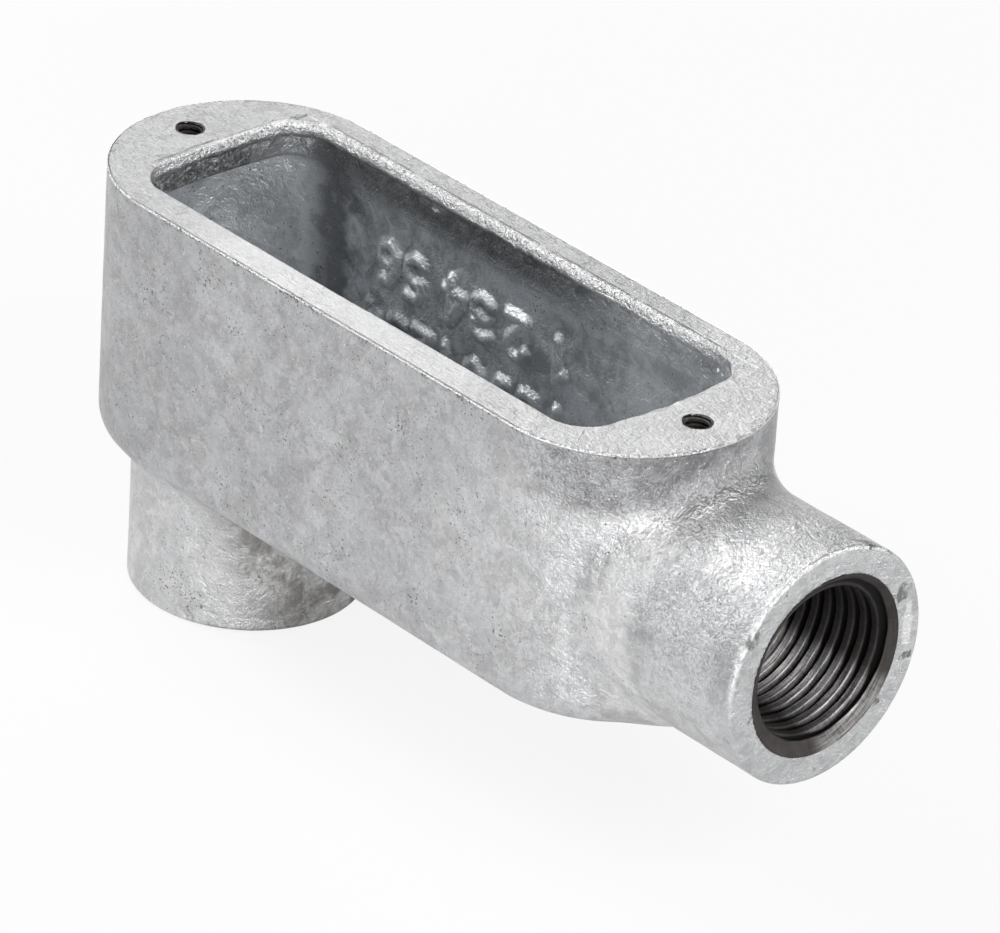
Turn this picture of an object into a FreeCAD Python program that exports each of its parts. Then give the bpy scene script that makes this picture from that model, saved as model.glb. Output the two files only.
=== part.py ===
import FreeCAD, Part
import math
import os

import Sketcher

# Conduit body: one malleable iron casting with a cover opening on top, a hub out of the back
# at the left end and a hub out of the right end. Millimetres.
# The sketches count heights from the back hub's mouth. The finished body is then set down by
# the depth of the mouth chamfer, so the origin lies on the back hub's axis where its thread
# starts. +Z goes up through the back hub to the cover opening, +X goes out of the end hub.

os.makedirs("parts", exist_ok=True)
doc = FreeCAD.newDocument("conduit")

SIZES = {
    # trough, seen from the cover side: two half rounds joined by straight sides
    "body_half_width": 17.15,
    "left_arc_offset": 2.2,
    "arc_spacing": 64.0,
    "rim_height": 53.8,
    "bottom_round": 4.3,
    "rim_edge_bevel": 0.4,
    # hubs: the end hub lies between the ground rim and the bottom, clear of both
    "hub_radius": 14.45,
    "hub_below_rim": 5.85,
    "hub_above_bottom": 1.05,
    "hub_root_depth": 12.0,
    "end_hub_reach": 96.1,
    "hub_face_bevel": 0.8,
    "end_hub_blend": 4.6,
    "back_hub_blend": 2.2,
    # tapped bores, drawn at the crest of their thread, each with a narrower throat behind it
    "bore_radius": 9.15,
    "mouth_radius": 10.9,
    "mouth_depth": 1.5,
    "throat_step": 1.25,
    "throat_bevel": 1.0,
    "end_throat_length": 5.4,
    "back_throat_length": 6.2,
    # wiring chamber
    "wall": 3.45,
    "floor_thickness": 3.4,
    "floor_round": 6.5,
    "cut_margin": 2.0,
    # cover opening and the lands round it
    "land_thickness": 4.4,
    "side_land": 4.2,
    "end_land": 10.45,
    "opening_bow": 1.0,
    "opening_corner": 4.2,
    "opening_edge_bevel": 0.6,
    "screw_from_end": 5.5,
    "screw_bore_radius": 1.4,
    "screw_mouth_chamfer": 0.4,
}

sheet = doc.addObject("Spreadsheet::Sheet", "Sizes")
for row, (alias, value) in enumerate(SIZES.items(), start=1):
    sheet.set("A%d" % row, alias)
    sheet.set("B%d" % row, str(value))
    sheet.setAlias("B%d" % row, alias)
doc.recompute()


def size(name):
    return float(sheet.get(name))


# places that follow from the sizes: heights above the back hub's mouth first, then lengths.
# Each has its expression for the features and its value for finding edges.
AXIS = "(Sizes.rim_height - Sizes.hub_below_rim - Sizes.hub_radius)"
BOTTOM = "(" + AXIS + " - Sizes.hub_radius - Sizes.hub_above_bottom)"
FLOOR = "(" + BOTTOM + " + Sizes.floor_thickness)"
axis_height = size("rim_height") - size("hub_below_rim") - size("hub_radius")
bottom = axis_height - size("hub_radius") - size("hub_above_bottom")
floor = bottom + size("floor_thickness")

RIGHT_ARC = "(Sizes.arc_spacing - Sizes.left_arc_offset)"
MIDDLE = "(Sizes.arc_spacing / 2 - Sizes.left_arc_offset)"
HALF_LENGTH = "(Sizes.arc_spacing / 2 + Sizes.body_half_width)"
right_arc = size("arc_spacing") - size("left_arc_offset")
middle = size("arc_spacing") / 2 - size("left_arc_offset")
half_length = size("arc_spacing") / 2 + size("body_half_width")

OPENING_WIDE = "(Sizes.body_half_width - Sizes.side_land)"
OPENING_LONG = "(" + HALF_LENGTH + " - Sizes.end_land)"
SCREW_PLACE = "(" + HALF_LENGTH + " - Sizes.screw_from_end)"
opening_wide = size("body_half_width") - size("side_land")
opening_long = half_length - size("end_land")
screw_place = half_length - size("screw_from_end")

THROAT_RADIUS = "(Sizes.bore_radius - Sizes.throat_step)"
CHAMBER_END = "(" + RIGHT_ARC + " + Sizes.body_half_width - Sizes.wall)"
END_BORE_DEPTH = "(Sizes.end_hub_reach - " + CHAMBER_END + " - Sizes.end_throat_length)"
BACK_BORE_DEPTH = "(" + FLOOR + " - Sizes.back_throat_length)"
throat_radius = size("bore_radius") - size("throat_step")
chamber_end = right_arc + size("body_half_width") - size("wall")
end_bore_depth = size("end_hub_reach") - chamber_end - size("end_throat_length")
back_bore_depth = floor - size("back_throat_length")

body = doc.addObject("PartDesign::Body", "conduit_body")
body.Label = "conduit_body"
body.setExpression("Placement.Base.z", "-Sizes.mouth_depth")


def plane(role):
    return next(f for f in body.Origin.OriginFeatures if f.Role == role)


def new_sketch(name, role, offset=None):
    sketch = body.newObject("Sketcher::SketchObject", name)
    sketch.AttachmentSupport = [(plane(role), "")]
    sketch.MapMode = "FlatFace"
    if offset:
        sketch.setExpression("AttachmentOffset.Base.z", offset)
    return sketch


def name_last(sketch, name, expression):
    # gives the newest constraint a name and drives it from the sheet
    index = sketch.ConstraintCount - 1
    sketch.renameConstraint(index, name)
    sketch.setExpression("Constraints." + name, expression)


def stadium(name, offset, radius, radius_now):
    # two half rounds on the long axis, joined by tangent sides
    sketch = new_sketch(name, "XY_Plane", offset)
    left = -size("left_arc_offset")
    right = left + size("arc_spacing")
    r = radius_now
    up = FreeCAD.Vector(0, 0, 1)
    V = FreeCAD.Vector
    half = math.pi / 2
    sketch.addGeometry(Part.ArcOfCircle(Part.Circle(V(left, 0, 0), up, r), half, 3 * half), False)
    sketch.addGeometry(Part.ArcOfCircle(Part.Circle(V(right, 0, 0), up, r), -half, half), False)
    sketch.addGeometry(Part.LineSegment(V(left, -r, 0), V(right, -r, 0)), False)
    sketch.addGeometry(Part.LineSegment(V(right, r, 0), V(left, r, 0)), False)
    C = Sketcher.Constraint
    sketch.addConstraint(C("Tangent", 0, 2, 2, 1))
    sketch.addConstraint(C("Tangent", 2, 2, 1, 1))
    sketch.addConstraint(C("Tangent", 1, 2, 3, 1))
    sketch.addConstraint(C("Tangent", 3, 2, 0, 1))
    sketch.addConstraint(C("PointOnObject", 0, 3, -1))
    sketch.addConstraint(C("PointOnObject", 1, 3, -1))
    sketch.addConstraint(C("Radius", 0, r))
    name_last(sketch, "end_radius", radius)
    sketch.addConstraint(C("DistanceX", 0, 3, -1, 1, -left))
    name_last(sketch, "arc_offset", "Sizes.left_arc_offset")
    sketch.addConstraint(C("DistanceX", 0, 3, 1, 3, right - left))
    name_last(sketch, "arc_distance", "Sizes.arc_spacing")
    return sketch


def pad(name, sketch, length, reverse=False):
    feature = body.newObject("PartDesign::Pad", name)
    feature.Profile = sketch
    feature.setExpression("Length", length)
    feature.Reversed = reverse
    sketch.Visibility = False
    doc.recompute()
    return feature


def pocket(name, sketch, depth, reverse=False):
    feature = body.newObject("PartDesign::Pocket", name)
    feature.Profile = sketch
    feature.setExpression("Length", depth)
    feature.Reversed = reverse
    sketch.Visibility = False
    doc.recompute()
    return feature


def edges_where(shape, test):
    return ["Edge%d" % (i + 1) for i, edge in enumerate(shape.Edges) if test(edge)]


def along(edge, count=9):
    first, last = edge.ParameterRange
    return [edge.valueAt(first + (last - first) * i / (count - 1)) for i in range(count)]


def dress(kind, name, base, edges, amount):
    # kind is Fillet with a radius or Chamfer with a size
    feature = body.newObject("PartDesign::" + kind, name)
    feature.Base = (base, edges)
    feature.setExpression("Radius" if kind == "Fillet" else "Size", amount)
    doc.recompute()
    return feature


TOL = 0.02

# trough
trough_sketch = stadium("TroughOutline", BOTTOM, "Sizes.body_half_width",
                        size("body_half_width"))
trough = pad("Trough", trough_sketch, "Sizes.rim_height - " + BOTTOM)
low_edges = edges_where(trough.Shape, lambda e: all(abs(p.z - bottom) < TOL for p in along(e)))
trough_round = dress("Fillet", "BottomRound", trough, low_edges, "Sizes.bottom_round")


def hub_circle(name, role, offset, height):
    sketch = new_sketch(name, role, offset)
    centre = FreeCAD.Vector(0, axis_height if height else 0, 0)
    sketch.addGeometry(Part.Circle(centre, FreeCAD.Vector(0, 0, 1), size("hub_radius")), False)
    sketch.addConstraint(Sketcher.Constraint("Radius", 0, size("hub_radius")))
    name_last(sketch, "hub_radius", "Sizes.hub_radius")
    if height:
        sketch.addConstraint(Sketcher.Constraint("PointOnObject", 0, 3, -2))
        sketch.addConstraint(Sketcher.Constraint("DistanceY", -1, 1, 0, 3, centre.y))
        name_last(sketch, "hub_height", height)
    else:
        sketch.addConstraint(Sketcher.Constraint("Coincident", 0, 3, -1, 1))
    return sketch


# end hub: grows out of the right half round, and a large soft blend runs right round its root
end_sketch = hub_circle("EndHubOutline", "YZ_Plane", RIGHT_ARC, AXIS)
end_hub = pad("EndHub", end_sketch, "Sizes.end_hub_reach - " + RIGHT_ARC)
reach = size("end_hub_reach")
hub_r = size("hub_radius")


def on_end_hub(edge):
    points = along(edge)
    return all(abs(math.hypot(p.y, p.z - axis_height) - hub_r) < TOL for p in points)


def on_back_hub(edge):
    return all(abs(math.hypot(p.x, p.y) - hub_r) < TOL for p in along(edge))


def straight(edge):
    return edge.Curve.TypeId == "Part::GeomLine"


end_root = edges_where(end_hub.Shape, lambda e: on_end_hub(e) and not straight(e)
                       and max(p.x for p in along(e)) < reach - 1)
end_blend = dress("Fillet", "EndHubBlend", end_hub, end_root, "Sizes.end_hub_blend")

# back hub: stands out of the bottom near the left end
back_sketch = hub_circle("BackHubOutline", "XY_Plane", None, None)
back_hub = pad("BackHub", back_sketch, BOTTOM + " + Sizes.hub_root_depth")
back_root = edges_where(back_hub.Shape, lambda e: on_back_hub(e) and not straight(e)
                        and min(p.z for p in along(e)) > 1)
back_blend = dress("Fillet", "BackHubBlend", back_hub, back_root, "Sizes.back_hub_blend")

face_edges = edges_where(
    back_blend.Shape,
    lambda e: (on_end_hub(e) and all(abs(p.x - reach) < TOL for p in along(e)))
    or (on_back_hub(e) and all(abs(p.z) < TOL for p in along(e))))
face_bevel = dress("Chamfer", "HubFaceBevel", back_blend, face_edges, "Sizes.hub_face_bevel")

# wiring chamber under the lands, with a large round where its walls meet the floor
chamber_sketch = stadium("ChamberOutline", "Sizes.rim_height - Sizes.land_thickness",
                         "Sizes.body_half_width - Sizes.wall",
                         size("body_half_width") - size("wall"))
chamber = pocket("Chamber", chamber_sketch,
                 "Sizes.rim_height - Sizes.land_thickness - " + FLOOR)
floor_edges = edges_where(chamber.Shape, lambda e: all(abs(p.z - floor) < TOL for p in along(e)))
chamber_round = dress("Fillet", "FloorRound", chamber, floor_edges, "Sizes.floor_round")

# cover opening: straight long sides, slightly bowed ends, rounded corners.
# Its sketch sits at the middle of the trough, so both ends mirror each other.
opening_sketch = new_sketch("OpeningOutline", "XY_Plane", "Sizes.rim_height")
opening_sketch.setExpression("AttachmentOffset.Base.x", MIDDLE)
V = FreeCAD.Vector
C = Sketcher.Constraint
UP = V(0, 0, 1)
bow = size("opening_bow")
corner = size("opening_corner")
bow_radius = (opening_wide ** 2 + bow ** 2) / (2 * bow)
bow_centre = opening_long - bow_radius
corner_y = opening_wide - corner
corner_x = bow_centre + math.sqrt((bow_radius - corner) ** 2 - corner_y ** 2)
swing = math.atan2(corner_y, corner_x - bow_centre)


def arc(x, y, radius, first, last):
    circle = Part.Circle(V(x, y, 0), UP, radius)
    opening_sketch.addGeometry(Part.ArcOfCircle(circle, first, last), False)


pi = math.pi
near_side = Part.LineSegment(V(-corner_x, -opening_wide, 0), V(corner_x, -opening_wide, 0))
far_side = Part.LineSegment(V(corner_x, opening_wide, 0), V(-corner_x, opening_wide, 0))
opening_sketch.addGeometry(near_side, False)
arc(corner_x, -corner_y, corner, -pi / 2, -swing)
arc(bow_centre, 0, bow_radius, -swing, swing)
arc(corner_x, corner_y, corner, swing, pi / 2)
opening_sketch.addGeometry(far_side, False)
arc(-corner_x, corner_y, corner, pi / 2, pi - swing)
arc(-bow_centre, 0, bow_radius, pi - swing, pi + swing)
arc(-corner_x, -corner_y, corner, pi + swing, 3 * pi / 2)
for i in range(8):
    opening_sketch.addConstraint(C("Tangent", i, 2, (i + 1) % 8, 1))
opening_sketch.addConstraint(C("Horizontal", 0))
opening_sketch.addConstraint(C("Horizontal", 4))
opening_sketch.addConstraint(C("PointOnObject", 2, 3, -1))
opening_sketch.addConstraint(C("PointOnObject", 6, 3, -1))
for i in (3, 5, 7):
    opening_sketch.addConstraint(C("Equal", 1, i))
opening_sketch.addConstraint(C("Equal", 2, 6))
BOW = "(" + OPENING_WIDE + " ^ 2 + Sizes.opening_bow ^ 2) / (2 * Sizes.opening_bow)"
opening_sketch.addConstraint(C("Radius", 1, corner))
name_last(opening_sketch, "corner_radius", "Sizes.opening_corner")
opening_sketch.addConstraint(C("Radius", 2, bow_radius))
name_last(opening_sketch, "bow_radius", BOW)
opening_sketch.addConstraint(C("DistanceY", 0, 1, -1, 1, opening_wide))
name_last(opening_sketch, "near_side", OPENING_WIDE)
opening_sketch.addConstraint(C("DistanceY", -1, 1, 4, 1, opening_wide))
name_last(opening_sketch, "far_side", OPENING_WIDE)
opening_sketch.addConstraint(C("DistanceX", 2, 3, -1, 1, -bow_centre))
name_last(opening_sketch, "right_bow", BOW + " - " + OPENING_LONG)
opening_sketch.addConstraint(C("DistanceX", -1, 1, 6, 3, -bow_centre))
name_last(opening_sketch, "left_bow", BOW + " - " + OPENING_LONG)
opening = pocket("CoverOpening", opening_sketch, "Sizes.land_thickness")


def tapped_bore(name, along_x, depth, throat_end):
    # half section of a bore, turned about its axis: mouth chamfer, thread length, then the throat.
    # depth and throat_end are each a value and its expression, counted from the mouth.
    sketch = new_sketch(name + "Profile", "XZ_Plane")
    bore = size("bore_radius")
    radii = [size("mouth_radius"), bore, bore, throat_radius, throat_radius, 0, 0]
    depths = [0, size("mouth_depth"), depth[0], depth[0], throat_end[0], throat_end[0], 0]
    if along_x:
        points = [V(reach - d, axis_height + r, 0) for d, r in zip(depths, radii)]
    else:
        points = [V(r, d, 0) for d, r in zip(depths, radii)]
    count = len(points)
    for i in range(count):
        sketch.addGeometry(Part.LineSegment(points[i], points[(i + 1) % count]), False)
    for i in range(count):
        sketch.addConstraint(C("Coincident", i, 2, (i + 1) % count, 1))
    level, plumb = ("Horizontal", "Vertical") if along_x else ("Vertical", "Horizontal")
    for i in (1, 3, 5):
        sketch.addConstraint(C(level, i))
    for i in (2, 4, 6):
        sketch.addConstraint(C(plumb, i))

    def from_mouth(i, value, label, expression):
        # the last corner is where the axis meets the mouth
        if along_x:
            sketch.addConstraint(C("DistanceX", i, 1, 6, 1, value))
        else:
            sketch.addConstraint(C("DistanceY", 6, 1, i, 1, value))
        name_last(sketch, label, expression)

    def from_axis(i, label, expression):
        kind = "DistanceY" if along_x else "DistanceX"
        sketch.addConstraint(C(kind, 6, 1, i, 1, radii[i]))
        name_last(sketch, label, expression)

    from_axis(0, "mouth", "Sizes.mouth_radius")
    from_axis(1, "bore", "Sizes.bore_radius")
    from_axis(3, "throat", THROAT_RADIUS)
    from_mouth(1, depths[1], "mouth_depth", "Sizes.mouth_depth")
    from_mouth(2, depth[0], "bore_depth", depth[1])
    from_mouth(4, throat_end[0], "throat_end", throat_end[1])
    if along_x:
        sketch.addConstraint(C("DistanceX", -1, 1, 6, 1, reach))
        name_last(sketch, "mouth_plane", "Sizes.end_hub_reach")
        sketch.addConstraint(C("DistanceY", -1, 1, 6, 1, axis_height))
        name_last(sketch, "axis_height", AXIS)
    else:
        sketch.addConstraint(C("Coincident", 6, 1, -1, 1))
    feature = body.newObject("PartDesign::Groove", name)
    feature.Profile = sketch
    feature.ReferenceAxis = (sketch, ["Edge6"])
    feature.Angle = 360
    sketch.Visibility = False
    doc.recompute()
    return feature


# the end throat runs on to where the chamber is at its full width, the back one past the floor
end_bore = tapped_bore("EndBore", True, (end_bore_depth, END_BORE_DEPTH),
                       (reach - right_arc, "Sizes.end_hub_reach - " + RIGHT_ARC))
back_bore = tapped_bore("BackBore", False, (back_bore_depth, BACK_BORE_DEPTH),
                        (floor + size("cut_margin"), FLOOR + " + Sizes.cut_margin"))

# the step from each thread to its bushing throat has its edge broken
def on_throat_step(edge):
    points = along(edge)
    in_end = all(abs(math.hypot(p.y, p.z - axis_height) - throat_radius) < TOL
                 and abs(p.x - reach + end_bore_depth) < TOL for p in points)
    in_back = all(abs(math.hypot(p.x, p.y) - throat_radius) < TOL
                  and abs(p.z - back_bore_depth) < TOL for p in points)
    return in_end or in_back


throat_edges = edges_where(back_bore.Shape, on_throat_step)
throat_bevel = dress("Chamfer", "ThroatBevel", back_bore, throat_edges, "Sizes.throat_bevel")

# cover screw holes: one at the right, repeated at the left
screw_sketch = new_sketch("ScrewHoleOutline", "XY_Plane", "Sizes.rim_height")
screw_sketch.setExpression("AttachmentOffset.Base.x", MIDDLE)
screw_r = size("screw_bore_radius")
screw_sketch.addGeometry(Part.Circle(V(screw_place, 0, 0), UP, screw_r), False)
screw_sketch.addConstraint(C("PointOnObject", 0, 3, -1))
screw_sketch.addConstraint(C("Radius", 0, screw_r))
name_last(screw_sketch, "hole_radius", "Sizes.screw_bore_radius")
screw_sketch.addConstraint(C("DistanceX", -1, 1, 0, 3, screw_place))
name_last(screw_sketch, "from_middle", SCREW_PLACE)
screw_hole = pocket("ScrewHole", screw_sketch, "Sizes.land_thickness")
screw_pair = body.newObject("PartDesign::LinearPattern", "ScrewHoles")
screw_pair.Originals = [screw_hole]
screw_pair.Direction = (screw_sketch, ["H_Axis"])
screw_pair.Reversed = True
screw_pair.setExpression("Length", "2 * " + SCREW_PLACE)
screw_pair.Occurrences = 2
body.Tip = screw_pair
doc.recompute()

# edges of the ground rim
top = size("rim_height")


def on_top(edge):
    return all(abs(p.z - top) < TOL for p in along(edge))


def off_screw(edge):
    first = along(edge)[0]
    return math.hypot(abs(first.x - middle) - screw_place, first.y)


screw_edges = edges_where(screw_pair.Shape, lambda e: on_top(e) and off_screw(e) < screw_r + TOL)
screw_mouth = dress("Chamfer", "ScrewMouths", screw_pair, screw_edges, "Sizes.screw_mouth_chamfer")


def outside(edge):
    # true on the trough's outer outline, false round the opening
    centre = along(edge)[4]
    nearest = min(max(centre.x, -size("left_arc_offset")), right_arc)
    return math.hypot(centre.x - nearest, centre.y) > size("body_half_width") - TOL


outer_edges = edges_where(screw_mouth.Shape, lambda e: on_top(e) and outside(e))
outer_bevel = dress("Chamfer", "RimEdge", screw_mouth, outer_edges, "Sizes.rim_edge_bevel")
inner_edges = edges_where(
    outer_bevel.Shape,
    lambda e: on_top(e) and off_screw(e) > screw_r + size("screw_mouth_chamfer") + TOL
    and abs(along(e)[4].y) < opening_wide + TOL
    and abs(along(e)[4].x - middle) < opening_long + TOL)
inner_bevel = dress("Chamfer", "OpeningEdge", outer_bevel, inner_edges,
                    "Sizes.opening_edge_bevel")
body.Tip = inner_bevel
doc.recompute()

# every object must be sound before anything is written
for item in doc.Objects:
    if "Invalid" in item.State or "Error" in item.State:
        raise RuntimeError("not sound: " + item.Name)
shape = body.Shape
if shape.isNull() or not shape.isValid() or len(shape.Solids) != 1:
    raise RuntimeError("conduit_body is not one sound solid")
print("volume", round(shape.Volume, 1), "box", shape.BoundBox)
shape.exportStep("parts/conduit_body.step")
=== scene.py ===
import math

import bpy
import numpy as np
from mathutils import Matrix, Vector


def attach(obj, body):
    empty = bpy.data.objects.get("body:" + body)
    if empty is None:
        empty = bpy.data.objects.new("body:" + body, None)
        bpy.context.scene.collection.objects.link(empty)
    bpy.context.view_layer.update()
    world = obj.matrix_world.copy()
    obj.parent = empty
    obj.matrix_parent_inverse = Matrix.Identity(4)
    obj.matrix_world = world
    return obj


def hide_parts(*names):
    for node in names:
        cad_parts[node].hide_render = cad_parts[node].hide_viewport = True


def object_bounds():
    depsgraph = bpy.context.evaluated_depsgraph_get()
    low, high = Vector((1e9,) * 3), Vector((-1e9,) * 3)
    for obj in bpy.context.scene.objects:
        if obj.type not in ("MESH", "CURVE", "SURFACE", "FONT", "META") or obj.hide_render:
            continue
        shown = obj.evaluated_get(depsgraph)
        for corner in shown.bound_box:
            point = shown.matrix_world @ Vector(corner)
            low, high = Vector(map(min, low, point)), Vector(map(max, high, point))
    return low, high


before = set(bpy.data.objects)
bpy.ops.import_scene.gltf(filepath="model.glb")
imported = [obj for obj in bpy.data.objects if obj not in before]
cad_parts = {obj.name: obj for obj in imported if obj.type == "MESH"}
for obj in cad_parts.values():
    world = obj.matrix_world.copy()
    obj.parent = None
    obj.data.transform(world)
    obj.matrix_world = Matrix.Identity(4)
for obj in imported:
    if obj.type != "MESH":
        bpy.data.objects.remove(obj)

cad_low, cad_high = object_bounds()

# A conduit body: one zinc coated casting with a screwed cover opening on top, a tapped hub out of
# its back and another out of its right end. Shapes are worked out in millimetres with heights
# counted from the back hub's mouth; the frame's origin lies one mouth chamfer higher.
MOUTH = 1.5
MM = 0.001

# the trough: half its width, its two arc centres, its bottom and its rim
HALF_WIDE = 17.15
ARC_LEFT, ARC_RIGHT = -2.2, 61.8
MIDDLE = 29.8
BOTTOM, RIM = 18.0, 53.8
BOTTOM_ROUND, RIM_ROUND = 4.3, 0.24
# the hubs and the hollow rounds that join them to the trough
HUB_R = 14.45
HUB_AXIS = 33.5
HUB_REACH = 96.1
END_BLEND, BACK_BLEND = 4.9, 2.4
# the chamber, and how far its long walls lean in under the rim's lands
WALL = 3.45
FLOOR = 21.4
FLOOR_ROUND = 6.5
LAND = 4.4
LEAN = 0.75
NEAR_LAND_WIDER = 0.35
# the opening: half its width and length, the bow of its ends and its corners
OPEN_WIDE, OPEN_LONG, OPEN_BOW, OPEN_CORNER = 12.95, 38.7, 1.0, 4.2
# the tapped holes
BORE_DEEP = 15.2
THROAT_R = 7.9
MOUTH_R = 10.9
SCREW_OUT = 43.65
SCREW_VOID_R = 1.7
# the cast numerals' height off the wall, half the width of a stroke at its foot, and how much of
# that its rounded side takes
RELIEF = 0.7
STROKE_FOOT, STROKE_SIDE = 1.2, 1.05
GRID, QUICK_GRID = 0.32, 0.45
MOST_TRIANGLES = 186000


def round_join(a, b, r):
    # two solids joined with a hollow round of radius r in the corner between them
    return np.maximum(r, np.minimum(a, b)) - np.hypot(np.maximum(r - a, 0), np.maximum(r - b, 0))


def round_cut(a, b, r):
    # what two solids share, with the edge between them rounded off
    return -round_join(-a, -b, r)


def blend_join(a, b, r, cosine):
    # a hollow round of true radius r where two surfaces meet at any angle
    c = np.clip(cosine, -0.9, 0.985)
    u, v = r - a, r - b
    reach = np.sqrt(np.maximum(u * u + v * v - 2 * u * v * c, 0) / (1 - c * c))
    between = (u > v * c) & (v > u * c) & (u > 0) & (v > 0)
    return np.where(between, r - reach, np.minimum(a, b))


def around_arcs(x, y):
    # distance from the line that joins the trough's two arc centres, and the nearest point on it
    near = np.clip(x, ARC_LEFT, ARC_RIGHT)
    return np.hypot(x - near, y), near


# each numeral as the line through its strokes, in a box 1 wide and 1.5 tall
NUMERAL_TALL = 1.5
NUMERALS = {
    "1": [(0.2, 1.15), (0.55, 1.5), (0.55, 0.0)],
    "2": [(0.06, 1.15), (0.25, 1.44), (0.6, 1.5), (0.9, 1.3), (0.88, 0.95), (0.08, 0.0),
          (0.95, 0.0)],
    "3": [(0.08, 1.36), (0.45, 1.5), (0.86, 1.3), (0.84, 0.98), (0.45, 0.8), (0.9, 0.55),
          (0.86, 0.2), (0.45, 0.0), (0.05, 0.14)],
    "4": [(0.7, 0.0), (0.7, 1.5), (0.04, 0.42), (0.98, 0.42)],
    "5": [(0.88, 1.5), (0.2, 1.5), (0.12, 0.86), (0.55, 0.95), (0.9, 0.68), (0.88, 0.25),
          (0.5, 0.0), (0.08, 0.12)],
    "6": [(0.84, 1.42), (0.45, 1.42), (0.12, 0.85), (0.12, 0.3), (0.45, 0.0), (0.86, 0.2),
          (0.88, 0.6), (0.5, 0.86), (0.14, 0.6)],
    "7": [(0.05, 1.5), (0.95, 1.5), (0.4, 0.0)],
    "8": [(0.5, 0.8), (0.12, 1.05), (0.2, 1.4), (0.5, 1.5), (0.8, 1.4), (0.88, 1.05), (0.5, 0.8),
          (0.08, 0.5), (0.14, 0.12), (0.5, 0.0), (0.86, 0.12), (0.92, 0.5), (0.5, 0.8)],
    "9": [(0.16, 0.08), (0.55, 0.08), (0.88, 0.65), (0.88, 1.2), (0.55, 1.5), (0.14, 1.3),
          (0.12, 0.9), (0.5, 0.64), (0.86, 0.9)],
    "0": [(0.5, 0.0), (0.12, 0.3), (0.1, 1.2), (0.5, 1.5), (0.9, 1.2), (0.88, 0.3), (0.5, 0.0)],
}
# plain numerals cast on the far wall in two rows, the wrong way up: each row's foot and letter
# height, then every numeral with the x of its right side
NUMERAL_ROWS = [
    (43.3, 5.2, [("1", 38.6), ("2", 31.4), ("3", 25.4), ("4", 20.6), ("5", 13.6), ("6", 9.0)]),
    (34.4, 5.0, [("7", 38.4), ("8", 33.9), ("9", 29.2), ("0", 24.6), ("1", 19.6), ("2", 15.4),
                 ("3", 10.8), ("4", 6.4)]),
]


FAR_OFF = 9.0


def numeral_relief(x, z):
    # how far the far wall stands proud for the numerals
    nearest = np.full_like(x, FAR_OFF)
    for foot, tall, letters in NUMERAL_ROWS:
        scale = tall / NUMERAL_TALL
        for letter, right in letters:
            u = (right - x) / scale
            v = (foot - z) / scale
            close = (u > -0.6) & (u < 1.6) & (v > -0.6) & (v < 2.1)
            if not close.any():
                continue
            uu, vv = u[close], v[close]
            best = np.full_like(uu, FAR_OFF)
            stroke = NUMERALS[letter]
            for (ax, ay), (bx, by) in zip(stroke, stroke[1:]):
                dx, dy = bx - ax, by - ay
                t = np.clip(((uu - ax) * dx + (vv - ay) * dy) / (dx * dx + dy * dy), 0, 1)
                best = np.minimum(best, np.hypot(uu - ax - t * dx, vv - ay - t * dy) * scale)
            nearest[close] = np.minimum(nearest[close], best)
    t = np.clip((STROKE_FOOT - nearest) / STROKE_SIDE, 0, 1)
    return RELIEF * t * t * (3 - 2 * t)


LATTICE_SIDE = 24
LATTICE = np.random.RandomState(11).rand(LATTICE_SIDE, LATTICE_SIDE, LATTICE_SIDE)


def grit(x, y, z, size):
    # smooth random swelling from -1 to 1 whose lumps are about as wide as size
    cell, share = [], []
    for v in (x, y, z):
        whole = np.floor(v / size)
        part = v / size - whole
        cell.append(whole.astype(np.int64))
        share.append(part * part * (3 - 2 * part))
    total = 0.0
    for corner in range(8):
        weight, at = 1.0, []
        for k in range(3):
            on = corner >> k & 1
            at.append((cell[k] + on) % LATTICE_SIDE)
            weight = weight * (share[k] if on else 1 - share[k])
        total = total + weight * LATTICE[at[0], at[1], at[2]]
    return 2 * total - 1


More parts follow.
